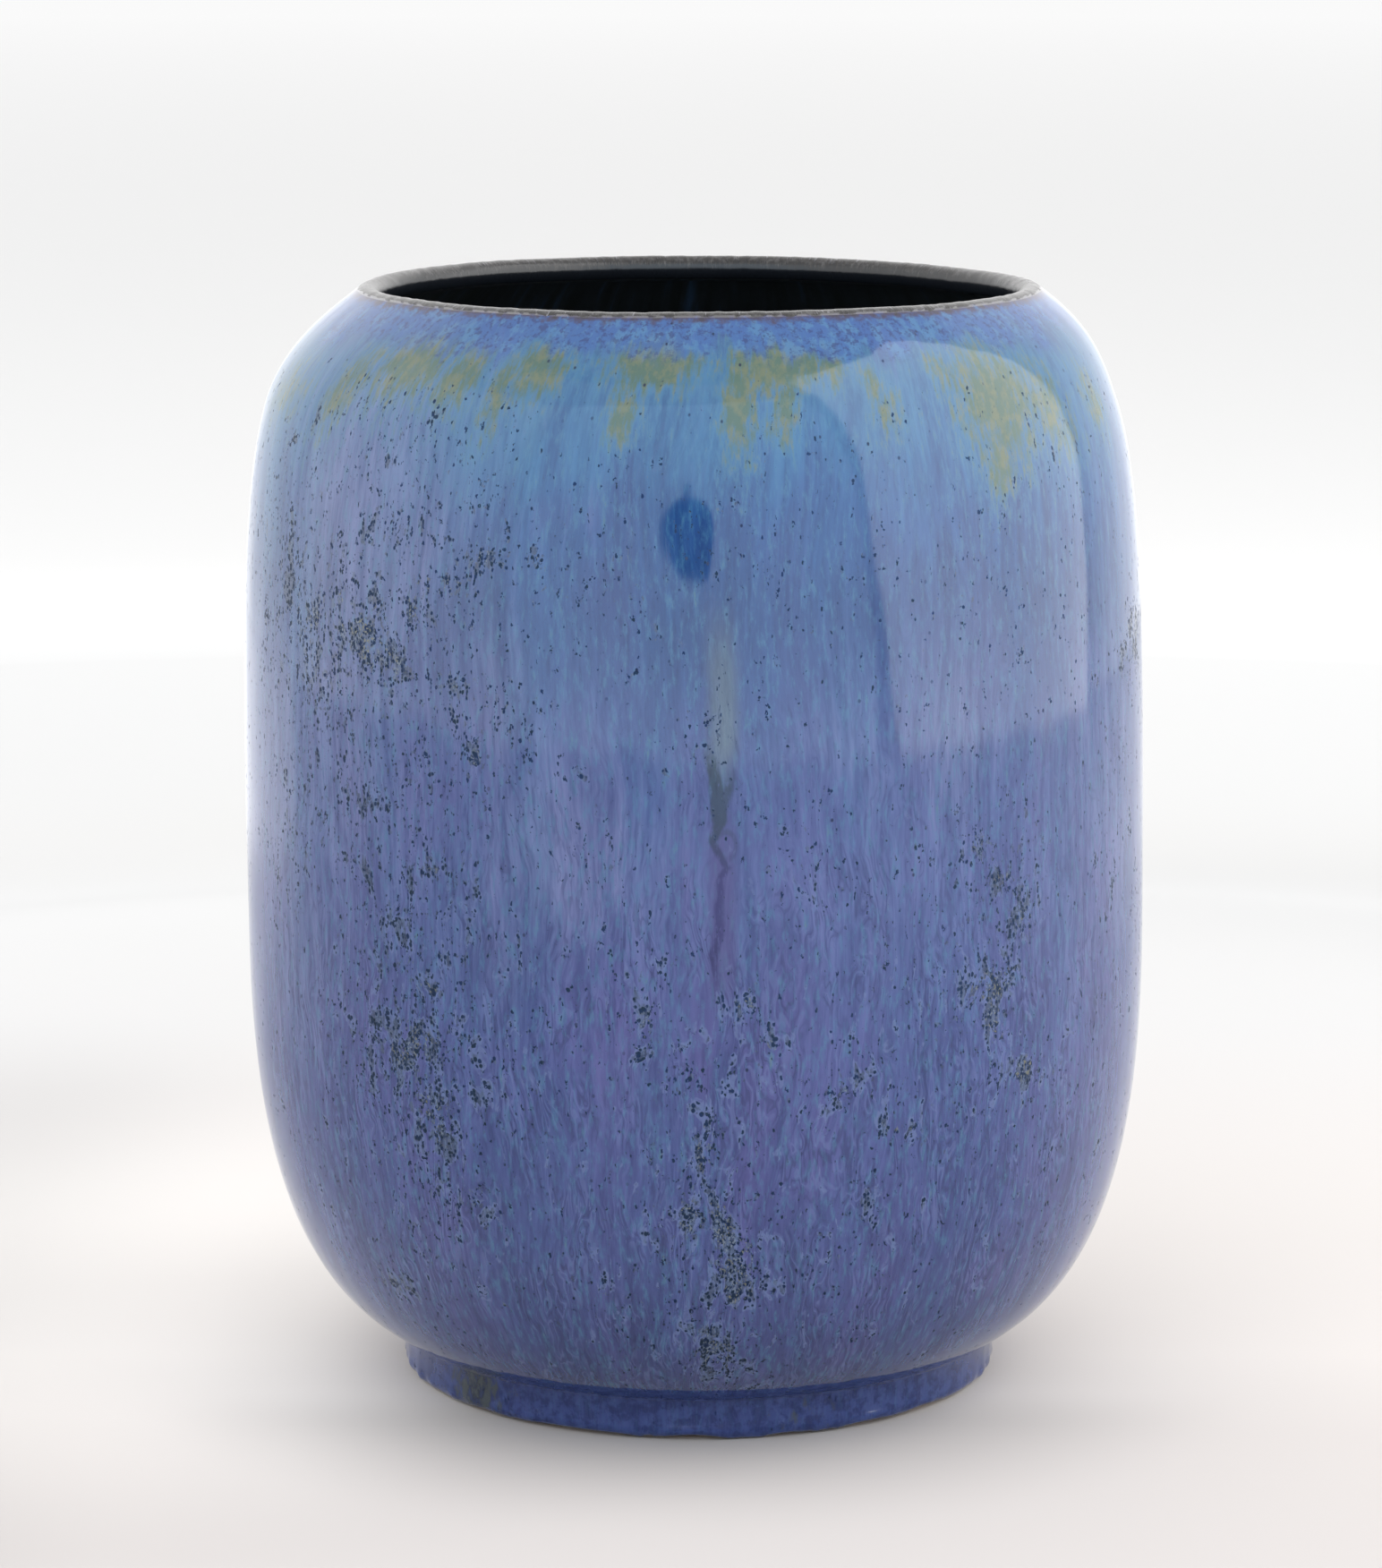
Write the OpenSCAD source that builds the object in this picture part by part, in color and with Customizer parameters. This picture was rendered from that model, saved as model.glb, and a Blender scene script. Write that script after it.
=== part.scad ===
// Thrown stoneware vase: one fired clay body under four coats of glaze.
// Millimetres, +Z up. The origin is on the axis, at the flat bottom of the foot ring.
// The outer outline is set by the finished, glazed surface; every coat and the clay
// lie at a depth below it, so that the layers meet face to face.

/* [Overall] */
// Height over the glazed lip
height = 200; // [180:1:230]
// Widest diameter, over the glaze
belly_d = 163.6; // [156:0.2:176]
// Height at which the body is widest
belly_z = 86; // [75:1:100]
// Diameter at the crest of the lip
mouth_d = 119.2; // [104:0.4:126]

/* [Shoulder and belly curves] */
// How far the straight side carries up before the shoulder turns in
side_rise = 90; // [70:1:95]
// How far the steep slope below the lip carries down the shoulder
shoulder_reach = 23.5; // [15:0.5:30]
// Steepness of the shoulder at the lip, degrees from level
shoulder_angle = 36.5; // [30:0.5:45]
// How far the straight side carries down before the belly turns in
side_drop = 24; // [15:1:40]
// How far the shallow slope above the foot carries up the belly
belly_reach = 27.5; // [18:0.5:32]
// Slope of the belly where it leaves the foot, degrees from level
belly_angle = 26; // [15:1:35]

/* [Lip and wall] */
// Radius of the half-round lip, over its glaze
lip_r = 2.4; // [1.8:0.1:3]
// Wall thickness at the widest point, coats included
wall = 6; // [5:0.5:8]
// Wall thickness low in the belly, coats included
wall_low = 8; // [6:0.5:10]
// Height of the clay floor's upper face
floor_z = 12; // [10:0.5:16]

/* [Foot] */
// Diameter of the foot wall, over the glaze
foot_d = 109; // [100:1:116]
// Height at which the foot wall starts to turn out
foot_wall_z = 7.4; // [6:0.2:10]
// Radius of the rounded lower edge of the foot, over the glaze
foot_edge_r = 4.1; // [3:0.1:5]
// Radius of the hollow between foot and belly
foot_hollow_r = 1; // [0.6:0.1:1.5]
// Radius of the soft ledge where the belly starts
ledge_r = 2.2; // [1.6:0.1:3]
// Width of the bare flat ring that the vase stands on
ring_w = 5; // [4:0.5:7]
// Depth of the turned recess inside the foot ring
recess_h = 4.5; // [3:0.5:6]

/* [Glaze coats] */
// Thickness of the dark first coat, which shows along the lip and under the foot edge
base_coat = 0.3; // [0.2:0.05:0.4]
// Thickness of the flowing blue coat
blue_coat = 0.6; // [0.4:0.05:0.9]
// Thickness of the dark lining inside the vase
lining_coat = 0.4; // [0.2:0.05:0.6]
// Thickness of the wash in the recess under the foot
wash_coat = 0.2; // [0.1:0.05:0.4]

/* [Hidden] */
$fn = 120;

belly_r = belly_d / 2;
foot_r = foot_d / 2;
lip_centre = [mouth_d / 2, height - lip_r];
// Depth of the clay below the finished surface where both coats lie on it
coats = base_coat + blue_coat;
// How sharply the blue coat feathers out towards the lip; a higher power is sharper
feather = 8;
// Steps in a long curve, and in a small round
curve_steps = 24;
round_steps = 6;
// Angles on the rounded foot edge, below level, at which the two coats stop
blue_stop = -38;
base_stop = -46;
clay_stop = -90;
// Angle of the lip's outer end, from which it turns half a circle into the mouth
lip_start = 90 - shoulder_angle;
lip_end = lip_start + 180;
// Share of the belly curve, from the foot, at which the cavity wall runs into the floor
floor_turn = 0.36;
// How far the floor's rounded corner reaches along the wall and along the floor
corner_reach = 9;
floor_reach = 12;
// Radius where the bare ring turns up into the recess
recess_round_r = 1.5;

// Centres of the rounds at the foot, and the end of the ledge, where the belly starts
edge_centre = [foot_r - foot_edge_r, foot_edge_r - coats];
hollow_centre = [foot_r + foot_hollow_r, foot_wall_z];
ledge_centre = [foot_r + foot_hollow_r, foot_wall_z + foot_hollow_r + ledge_r];
ledge_start = -90;
ledge_end = belly_angle - 90;

function ray(angle) = [cos(angle), sin(angle)];
function arc(centre, r, from, to, steps) =
    [for (i = [0:steps]) centre + r * ray(from + (to - from) * i / steps)];
function reversed(points) = [for (i = [len(points) - 1:-1:0]) points[i]];
// All points but the first, where the line before already ends on it
function rest(points) = [for (i = [1:len(points) - 1]) points[i]];

// A cubic curve through its first and last points, and its direction at t
function on_curve(p, t) =
    pow(1 - t, 3) * p[0] + 3 * pow(1 - t, 2) * t * p[1] + 3 * (1 - t) * t * t * p[2] + pow(t, 3) * p[3];
function along_curve(p, t) =
    pow(1 - t, 2) * (p[1] - p[0]) + 2 * (1 - t) * t * (p[2] - p[1]) + t * t * (p[3] - p[2]);
function outward(direction) = [direction[1], -direction[0]] / norm(direction);
function below_curve(p, t, depth) = on_curve(p, t) - depth * outward(along_curve(p, t));

// The finished outline: the belly runs up to the widest point, the shoulder on to the lip
belly_start = ledge_centre + ledge_r * ray(ledge_end);
lip_join = lip_centre + lip_r * ray(lip_start);
widest = [belly_r, belly_z];
belly = [
    belly_start,
    belly_start + belly_reach * ray(belly_angle),
    widest - [0, side_drop],
    widest
];
shoulder = [
    widest,
    widest + [0, side_rise],
    lip_join + shoulder_reach * ray(lip_start - 90),
    lip_join
];

// Blue coat thickness at t along the shoulder, nothing left at the lip
function blue_at(t) = blue_coat * (1 - pow(t, feather));

// Outline at a depth below the finished surface, from the foot edge up to the lip.
// blue_share is 1 for a surface that lies under the blue coat and 0 for its outside.
function foot_line(depth) = concat(
    arc(edge_centre, foot_edge_r - depth, blue_stop, 0, round_steps),
    arc(hollow_centre, foot_hollow_r + depth, 180, 90, round_steps),
    rest(arc(ledge_centre, ledge_r - depth, ledge_start, ledge_end, round_steps))
);
function belly_line(depth) =
    [for (i = [1:curve_steps]) below_curve(belly, i / curve_steps, depth)];
function shoulder_line(depth, blue_share) =
    [for (i = [1:curve_steps])
        let (t = i / curve_steps)
        below_curve(shoulder, t, depth + blue_share * blue_at(t))];
function outer_line(depth, blue_share) = concat(
    foot_line(depth + blue_share * blue_coat),
    belly_line(depth + blue_share * blue_coat),
    shoulder_line(depth, blue_share)
);
function lip_line(r) = rest(arc(lip_centre, r, lip_start, lip_end, 3 * round_steps));

// Cavity wall from the lip down to the floor's corner, at an extra depth into the cavity
lip_wall = 2 * lip_r - base_coat;
function upper_wall(t) = wall + (lip_wall - wall) * t;
function lower_wall(t) = wall_low + (wall - wall_low) * t;
function cavity_side(extra) = concat(
    [for (i = [curve_steps:-1:0])
        let (t = i / curve_steps)
        below_curve(shoulder, t, upper_wall(t) + extra)],
    [for (i = [curve_steps - 1:-1:1])
        let (t = floor_turn + (1 - floor_turn) * i / curve_steps)
        below_curve(belly, t, lower_wall(t) + extra)]
);
function cavity_corner(extra) =
    let (start = below_curve(belly, floor_turn, lower_wall(floor_turn) + extra))
    let (down = -along_curve(belly, floor_turn) / norm(along_curve(belly, floor_turn)))
    let (level = floor_z + extra)
    let (turn = start + corner_reach * down)
    let (corner = [start, turn, [turn[0] - floor_reach / 2, level], [turn[0] - 2 * floor_reach, level]])
    [for (i = [0:2 * round_steps]) on_curve(corner, i / (2 * round_steps))];
function cavity_line(extra) = concat(cavity_side(extra), cavity_corner(extra));

// Underside of the clay, from the axis out over the recess to the foot ring
ring_outer = edge_centre[0];
ring_inner = ring_outer - ring_w;
recess_wall = ring_inner - recess_round_r;
function recess_line(extra) = concat(
    [[0, recess_h - extra]],
    arc([recess_wall - recess_round_r, recess_h - recess_round_r], recess_round_r - extra, 90, 0, round_steps)
);

module coat(outer, inner) {
    rotate_extrude() polygon(concat(outer, reversed(inner)));
}

module clay_body() {
    clay_edge = foot_edge_r - coats;
    color([0.55, 0.4, 0.3])
    rotate_extrude()
    polygon(concat(
        recess_line(0),
        arc([recess_wall + recess_round_r, recess_round_r], recess_round_r, 180, 270, round_steps),
        arc(edge_centre, clay_edge, clay_stop, base_stop, round_steps),
        outer_line(base_coat, 1),
        lip_line(lip_r - base_coat),
        rest(cavity_line(0)),
        [[0, floor_z]]
    ));
}

module base_glaze() {
    color([0.24, 0.2, 0.18])
    coat(
        concat(
            [edge_centre + (foot_edge_r - blue_coat) * ray(base_stop)],
            outer_line(0, 1),
            lip_line(lip_r)
        ),
        concat(
            [edge_centre + (foot_edge_r - coats) * ray(base_stop)],
            outer_line(base_coat, 1),
            lip_line(lip_r - base_coat)
        )
    );
}

module blue_glaze() {
    // Both lines end at the same point on the lip, so the inner one leaves it out
    color([0.33, 0.41, 0.72])
    coat(outer_line(0, 0), reversed(rest(reversed(outer_line(0, 1)))));
}

module lining_glaze() {
    color([0.05, 0.06, 0.08])
    coat(
        concat(cavity_line(lining_coat), [[0, floor_z + lining_coat]]),
        concat(cavity_line(0), [[0, floor_z]])
    );
}

module recess_glaze() {
    color([0.2, 0.17, 0.15])
    coat(recess_line(0), recess_line(wash_coat));
}

clay_body();
base_glaze();
blue_glaze();
lining_glaze();
recess_glaze();
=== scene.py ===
"""Looks of a wheel-thrown stoneware vase: clay, first coat, flowing blue coat, lining and foot wash.

Lengths in the outline and in the lists of marks are millimetres and degrees; every mesh is in metres.
Places round the pot are degrees to the right of the front, seen from the front.
"""
import math

import bpy
import numpy as np
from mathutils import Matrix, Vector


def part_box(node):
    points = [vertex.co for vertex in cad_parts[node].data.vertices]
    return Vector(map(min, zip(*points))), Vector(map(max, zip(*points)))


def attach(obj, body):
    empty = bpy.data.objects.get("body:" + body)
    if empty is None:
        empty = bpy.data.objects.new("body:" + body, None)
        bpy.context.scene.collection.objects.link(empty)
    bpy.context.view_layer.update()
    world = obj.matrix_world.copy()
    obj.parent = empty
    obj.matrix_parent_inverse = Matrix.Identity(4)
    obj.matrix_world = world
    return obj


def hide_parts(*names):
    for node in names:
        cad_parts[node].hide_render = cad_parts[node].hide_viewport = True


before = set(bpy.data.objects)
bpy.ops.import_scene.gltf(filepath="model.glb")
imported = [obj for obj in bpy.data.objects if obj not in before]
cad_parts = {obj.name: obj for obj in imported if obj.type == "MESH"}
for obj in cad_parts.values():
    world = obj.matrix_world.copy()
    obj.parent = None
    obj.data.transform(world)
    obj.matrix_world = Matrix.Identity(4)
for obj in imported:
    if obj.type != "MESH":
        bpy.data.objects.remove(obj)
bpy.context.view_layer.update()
MM = 0.001


# ---------------------------------------------------------------- node building

class Bench:
    """Puts nodes into one tree and joins them."""

    def __init__(self, tree):
        self.tree = tree

    def feed(self, socket, value):
        if isinstance(value, bpy.types.NodeSocket):
            self.tree.links.new(value, socket)
        else:
            socket.default_value = value

    def put(self, kind, feeds=None, out=0, **settings):
        node = self.tree.nodes.new(kind)
        for key, value in settings.items():
            setattr(node, key, value)
        for key, value in (feeds or {}).items():
            self.feed(node.inputs[key], value)
        return node.outputs[out]

    def math(self, operation, a, b=0.0):
        return self.put("ShaderNodeMath", {0: a, 1: b}, operation=operation)

    def add(self, a, b):
        return self.math("ADD", a, b)

    def times(self, a, b):
        return self.math("MULTIPLY", a, b)

    def swing(self, value, width):
        """A noise of 0 to 1, made to swing to both sides of nothing."""
        return self.times(self.math("SUBTRACT", value, 0.5), width)

    def vector(self, operation, a, b=(0, 0, 0)):
        return self.put("ShaderNodeVectorMath", {0: a, 1: b}, operation=operation)

    def length(self, vector):
        return self.put("ShaderNodeVectorMath", {0: vector}, out=1, operation="LENGTH")

    def apart(self, vector):
        """The three parts of a vector."""
        node = self.tree.nodes.new("ShaderNodeSeparateXYZ")
        self.feed(node.inputs[0], vector)
        return node.outputs[0], node.outputs[1], node.outputs[2]

    def attribute(self, name, out=2):
        """What the mesh stores under a name: out is 1 for a vector, 2 for a number."""
        return self.put("ShaderNodeAttribute", out=out, attribute_name=name)

    def step(self, value, low, high, bottom=0.0, top=1.0):
        """Smooth step from bottom at low to top at high."""
        return self.put(
            "ShaderNodeMapRange",
            {"Value": value, "From Min": low, "From Max": high, "To Min": bottom, "To Max": top},
            interpolation_type="SMOOTHSTEP",
        )

    def line(self, value, low, high, bottom=0.0, top=1.0):
        return self.put(
            "ShaderNodeMapRange",
            {"Value": value, "From Min": low, "From Max": high, "To Min": bottom, "To Max": top},
        )

    def blend(self, share, a, b, kind="MIX"):
        feeds = {0: share, 6: colour(a), 7: colour(b)}
        return self.put("ShaderNodeMix", feeds, out=2, data_type="RGBA", blend_type=kind)

    def tinted(self, shade, tint):
        return self.blend(1.0, shade, tint, "MULTIPLY")

    def stops(self, value, stops):
        node = self.tree.nodes.new("ShaderNodeValToRGB")
        self.feed(node.inputs[0], value)
        ramp = node.color_ramp
        while len(ramp.elements) < len(stops):
            ramp.elements.new(0.5)
        for element, (place, shade) in zip(ramp.elements, stops):
            element.position = place
            element.color = colour(shade)
        return node.outputs[0]

    def stretch(self, vector, across, along):
        """Scales a flow vector so that one unit is `across` mm round the pot and `along` mm down it."""
        return self.vector("MULTIPLY", vector, (1 / across, 1 / across, 1 / along))

    def noise(self, vector, detail=2.0, rough=0.5, out=0, scale=1.0):
        feeds = {"Vector": vector, "Scale": scale, "Detail": detail, "Roughness": rough}
        return self.put("ShaderNodeTexNoise", feeds, out=out)

    def grains(self, vector, out):
        """Scattered grains: out is 0 for the distance to the nearest one, 1 for its own random colour."""
        return self.put("ShaderNodeTexVoronoi", {"Vector": vector, "Scale": 1.0}, out=out)

    def grain_dice(self, vector):
        """Three random numbers, 0 to 1, that stay the same all over a grain."""
        node = self.tree.nodes.new("ShaderNodeSeparateColor")
        self.feed(node.inputs[0], self.grains(vector, 1))
        return node.outputs[0], node.outputs[1], node.outputs[2]

    def bump(self, shader, height, strength, depth):
        """Bumps in the surface, up to depth mm."""
        feeds = {"Strength": strength, "Distance": depth * MM, "Height": height}
        self.feed(shader.inputs["Normal"], self.put("ShaderNodeBump", feeds))


def colour(value):
    if isinstance(value, bpy.types.NodeSocket) or len(value) == 4:
        return value
    return (*value, 1.0)


def finish(name):
    """A new material, its bench and its main shader."""
    material = bpy.data.materials.new(name)
    material.use_nodes = True
    bench = Bench(material.node_tree)
    return material, bench, material.node_tree.nodes["Principled BSDF"]


# ---------------------------------------------------------------- outline

top_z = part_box("base_glaze")[1][2] / MM
belly_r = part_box("blue_glaze")[1][0] / MM
belly_z = 86
foot_r = 54.5
blue_coat = 0.6
base_coat = 0.3
lining_coat = 0.4
wash_coat = 0.2

# Lip: a round of half a circle, from its outer end over the crest into the mouth
lip_r = 2.4
lip_centre = np.array([59.6, top_z - lip_r])
LIP_START, LIP_END = 53.5, 233.5

# Rounded foot edge, on which the two coats stop at an angle below level, and the hollow and ledge above it
edge_r = 4.1
edge_centre = np.array([foot_r - edge_r, 3.2])
clay_edge_r = edge_r - blue_coat - base_coat
BLUE_STOP, BASE_STOP = -38, -46
hollow_centre, hollow_r = (55.5, 7.4), 1.0
ledge_centre, ledge_r = (55.5, 10.6), 2.2
BELLY_ANGLE = 26
LEDGE_END = BELLY_ANGLE - 90

# How far each curve of the side keeps to the direction it starts and ends with
BELLY_REACH, SIDE_DROP, SIDE_RISE, SHOULDER_REACH = 27.5, 24, 90, 23.5
# How sharply the blue coat feathers out towards the lip
FEATHER = 8

# Wall thickness at the widest point and low in the belly, and the floor
WALL, WALL_LOW, FLOOR_Z = 6, 8, 12
# Share of the belly curve at which the wall turns into the floor, and how far that corner reaches
FLOOR_TURN, CORNER_REACH, FLOOR_REACH = 0.36, 9, 12

# Bare ring under the foot, and the recess inside it
RECESS_H, RECESS_ROUND, RING_W = 4.5, 1.5, 5
ring_in = edge_centre[0] - RING_W
recess_r = ring_in - RECESS_ROUND
recess_centre = (recess_r - RECESS_ROUND, RECESS_H - RECESS_ROUND)
# Places on the flat of the recess where its mesh has a row
RECESS_ROWS = (0, 20, 36)


def ray(degrees):
    turn = np.radians(degrees)
    return np.stack([np.cos(turn), np.sin(turn)], axis=-1)


def bezier(p, t):
    t = np.asarray(t)[:, None]
    point = (1 - t) ** 3 * p[0] + 3 * (1 - t) ** 2 * t * p[1] + 3 * (1 - t) * t * t * p[2] + t ** 3 * p[3]
    way = (1 - t) ** 2 * (p[1] - p[0]) + 2 * (1 - t) * t * (p[2] - p[1]) + t * t * (p[3] - p[2])
    way = way / np.linalg.norm(way, axis=1)[:, None]
    return point, np.stack([way[:, 1], -way[:, 0]], axis=-1)


def rounded(centre, radius, start, end, steps, hollow=False):
    out = ray(np.linspace(start, end, steps))
    return np.array(centre) + radius * out, (-out if hollow else out)


lip_join = lip_centre + lip_r * ray(LIP_START)
belly_start = np.array(ledge_centre) + ledge_r * ray(LEDGE_END)
widest = np.array([belly_r, belly_z])
belly = [belly_start, belly_start + BELLY_REACH * ray(BELLY_ANGLE), widest - [0, SIDE_DROP], widest]
shoulder = [widest, widest + [0, SIDE_RISE], lip_join + SHOULDER_REACH * ray(LIP_START - 90), lip_join]


def outside(foot_rows, belly_rows, shoulder_rows):
    """Finished outline from the foot edge to the lip: points, outward directions, blue thickness."""
    parts = [
        (*rounded(edge_centre, edge_r, BLUE_STOP, 0, foot_rows), 1),
        (*rounded(hollow_centre, hollow_r, 180, 90, foot_rows, hollow=True), 1),
        (*rounded(ledge_centre, ledge_r, -90, LEDGE_END, foot_rows), 1),
        (*bezier(belly, np.linspace(0, 1, belly_rows + 1)[1:]), 1),
    ]
    t = np.linspace(0, 1, shoulder_rows + 1)[1:]
    parts.append((*bezier(shoulder, t), 1 - t ** FEATHER))
    points = np.concatenate([p for p, n, b in parts])
    normals = np.concatenate([n for p, n, b in parts])
    blue = np.concatenate([np.broadcast_to(b, len(p)) for p, n, b in parts]) * blue_coat
    return points, normals, blue


def measured(points):
    """Length along a row of points."""
    return np.concatenate([[0], np.cumsum(np.linalg.norm(np.diff(points, axis=0), axis=1))])


guide, _, _ = outside(12, 200, 200)
guide_along = measured(guide)


def along_at(height):
    return np.interp(height, guide[:, 1], guide_along)


# ---------------------------------------------------------------- throwing

# How far off the axis the pot stands at the foot, mm
FOOT_LEAN = 0.8


def wheel():
    """Geometry Nodes: turns an outline round the axis, with the small faults of a hand-thrown pot."""
    tree = bpy.data.node_groups.new("turn on the wheel", "GeometryNodeTree")
    face = tree.interface
    face.new_socket("Outline", in_out="INPUT", socket_type="NodeSocketGeometry")
    for name, kind in (
        ("Columns", "Int"), ("Lean at Foot", "Float"), ("Lean at Shoulder", "Float"), ("Lip Shift", "Float"),
        ("Out of Round", "Float"), ("Lip Wave", "Float"), ("Ridge Height", "Float"), ("Ridge Spacing", "Float"),
        ("Seed", "Float"), ("Finish", "Material"),
    ):
        face.new_socket(name, in_out="INPUT", socket_type="NodeSocket" + kind)
    face.new_socket("Pot", in_out="OUTPUT", socket_type="NodeSocketGeometry")
    b = Bench(tree)
    given = tree.nodes.new("NodeGroupInput").outputs
    count = b.put("GeometryNodeAttributeDomainSize", {0: given["Outline"]})
    columns = b.add(given["Columns"], 1)
    grid = tree.nodes.new("GeometryNodeMeshGrid")
    b.feed(grid.inputs["Vertices X"], count)
    b.feed(grid.inputs["Vertices Y"], columns)
    index = b.put("GeometryNodeInputIndex")
    row = b.math("FLOOR", b.math("DIVIDE", b.add(index, 0.5), columns))
    column = b.math("SUBTRACT", index, b.times(row, columns))
    turn = b.times(b.math("DIVIDE", column, given["Columns"]), math.tau)

    place = b.put("GeometryNodeInputPosition")
    point = b.put("GeometryNodeSampleIndex", {0: given["Outline"], 1: place, 2: row}, data_type="FLOAT_VECTOR")
    length = b.put("GeometryNodeInputNamedAttribute", {0: "along"}, data_type="FLOAT")
    along = b.put("GeometryNodeSampleIndex", {0: given["Outline"], 1: length, 2: row}, data_type="FLOAT")
    radius, _, height = b.apart(point)

    wander = b.noise(b.put("ShaderNodeCombineXYZ", {0: b.times(height, 40), 1: given["Seed"]}), detail=1)
    ridge = b.math("SINE", b.add(b.times(b.math("DIVIDE", height, given["Ridge Spacing"]), math.tau),
                                 b.add(turn, b.times(wander, 5))))
    flat_axis = b.step(radius, 0.002, 0.012)
    radius = b.add(radius, b.times(flat_axis, b.times(ridge, given["Ridge Height"])))
    oval = b.times(b.math("COSINE", b.add(b.times(turn, 2), 0.9)), given["Out of Round"])
    radius = b.times(radius, b.add(1, oval))
    near_lip = b.step(height, 0.180, 0.199)
    wave = b.add(b.math("COSINE", b.add(b.times(turn, 2), 2.2)),
                 b.add(b.times(b.math("COSINE", b.add(b.times(turn, 5), 0.4)), 0.45),
                       b.times(b.math("COSINE", b.add(b.times(turn, 13), 1.7)), 0.22)))
    height = b.add(height, b.times(near_lip, b.times(wave, given["Lip Wave"])))
    lean = b.add(given["Lean at Foot"], b.times(b.math("DIVIDE", height, 0.18),
                                                 b.math("SUBTRACT", given["Lean at Shoulder"],
                                                        given["Lean at Foot"])))
    lean = b.add(lean, b.times(near_lip, given["Lip Shift"]))
    x = b.add(b.times(radius, b.math("COSINE", turn)), lean)
    y = b.times(radius, b.math("SINE", turn))
    placed = b.put("ShaderNodeCombineXYZ", {0: x, 1: y, 2: height})

    pot = b.put("GeometryNodeSetPosition", {0: grid.outputs[0], "Position": placed})
    for label, value, kind, domain in (
        ("along", along, "FLOAT", "POINT"), ("turn", turn, "FLOAT", "POINT"),
        ("UVMap", grid.outputs[1], "FLOAT2", "CORNER"),
    ):
        feeds = {0: pot, 2: label, 3: value}
        pot = b.put("GeometryNodeStoreNamedAttribute", feeds, data_type=kind, domain=domain)
    pot = b.put("GeometryNodeFlipFaces", {0: pot})
    pot = b.put("GeometryNodeMergeByDistance", {0: pot, "Distance": 1e-6})
    pot = b.put("GeometryNodeSetShadeSmooth", {0: pot})
    pot = b.put("GeometryNodeRealizeInstances", {0: pot})
    pot = b.put("GeometryNodeSetMaterial", {0: pot, "Material": given["Finish"]})
    result = tree.nodes.new("NodeGroupOutput")
    b.feed(result.inputs[0], pot)
    return tree


def made_plain(item, name):
    """Turns what a modifier makes into the object's own mesh, and takes the modifier off."""
    done = item.evaluated_get(bpy.context.evaluated_depsgraph_get())
    mesh = bpy.data.meshes.new_from_object(done)
    mesh.name = name
    item.modifiers.clear()
    item.data = mesh
    return item


def set_inputs(modifier, values):
    for socket in modifier.node_group.interface.items_tree:
        if socket.in_out == "INPUT" and socket.name in values:
            modifier[socket.identifier] = values[socket.name]


def thrown(name, points, along, material, columns, ridge=0.0, spacing=5.0, seed=0.0):
    """One piece of the pot, from its closed outline in mm."""
    mesh = bpy.data.meshes.new(name)
    corners = [(r * MM, 0, z * MM) for r, z in points]
    mesh.from_pydata(corners, [(i, i + 1) for i in range(len(points) - 1)], [])
    mesh.attributes.new("along", "FLOAT", "POINT").data.foreach_set("value", np.asarray(along, np.float32))
    item = bpy.data.objects.new(name, mesh)
    bpy.context.scene.collection.objects.link(item)
    modifier = item.modifiers.new("wheel", "NODES")
    modifier.node_group = THE_WHEEL
    set_inputs(modifier, {
        "Columns": columns, "Lean at Foot": FOOT_LEAN * MM, "Lean at Shoulder": -0.6 * MM,
        "Lip Shift": 1.6 * MM, "Out of Round": 0.002, "Lip Wave": 0.14 * MM, "Ridge Height": ridge * MM,
        "Ridge Spacing": spacing * MM, "Seed": seed, "Finish": material,
    })
    return made_plain(item, name)


def read(mesh, name):
    values = np.zeros(len(mesh.vertices), np.float32)
    mesh.attributes[name].data.foreach_get("value", values)
    return values.astype(float)


def places(mesh):
    values = np.zeros(len(mesh.vertices) * 3)
    mesh.vertices.foreach_get("co", values)
    return values.reshape(-1, 3)


def directions(mesh):
    values = np.zeros(len(mesh.vertices) * 3, np.float32)
    mesh.vertex_normals.foreach_get("vector", values)
    return values.reshape(-1, 3).astype(float)


def store(mesh, name, values):
    if values.ndim == 2:
        mesh.attributes.new(name, "FLOAT_VECTOR", "POINT").data.foreach_set("vector", values.ravel())
    else:
        mesh.attributes.new(name, "FLOAT", "POINT").data.foreach_set("value", values)


def move(mesh, values):
    mesh.vertices.foreach_set("co", values.ravel())
    mesh.update()


def ripples(seed, turn, along, waves, finest, tallest):
    """A seamless sum of smooth waves, about -1 to 1: finest mm round the pot, tallest mm along it."""
    dice = np.random.default_rng(seed)
    total = np.zeros_like(turn)
    for _ in range(waves):
        around = dice.integers(-int(math.tau * belly_r / finest), int(math.tau * belly_r / finest) + 1)
        total += np.cos(around * turn + dice.uniform(-1, 1) * math.tau * along / tallest
                        + dice.uniform(0, math.tau))
    return total / math.sqrt(waves)


def smooth(value, low, high):
    t = np.clip((value - low) / (high - low), 0, 1)
    return t * t * (3 - 2 * t)


def degrees_right(turn):
    """Angle to the right of the front, -180 to 180, from the angle turned on the wheel."""
    return (np.degrees(turn) + 90 + 180) % 360 - 180


def flow_vector(right, along):
    """Millimetres round and along the pot, without a seam. Near the front, x is the distance to the right."""
    angle = np.radians(right)
    return np.stack([belly_r * np.sin(angle), -belly_r * np.cos(angle), along], axis=-1)


def patches(marks, right, along):
    """Soft mask of oval patches, each one as in the lists of marks below."""
    total = np.zeros_like(right)
    for place, height, half_width, half_height, lean, strength in marks:
        across = np.radians((right - place + 180) % 360 - 180) * belly_r
        up = along - along_at(height)
        across = across - lean * up
        mask = strength * np.exp(-((across / half_width) ** 2 + (up / half_height) ** 2) * 0.7)
        total = np.maximum(total, mask)
    return total


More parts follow.
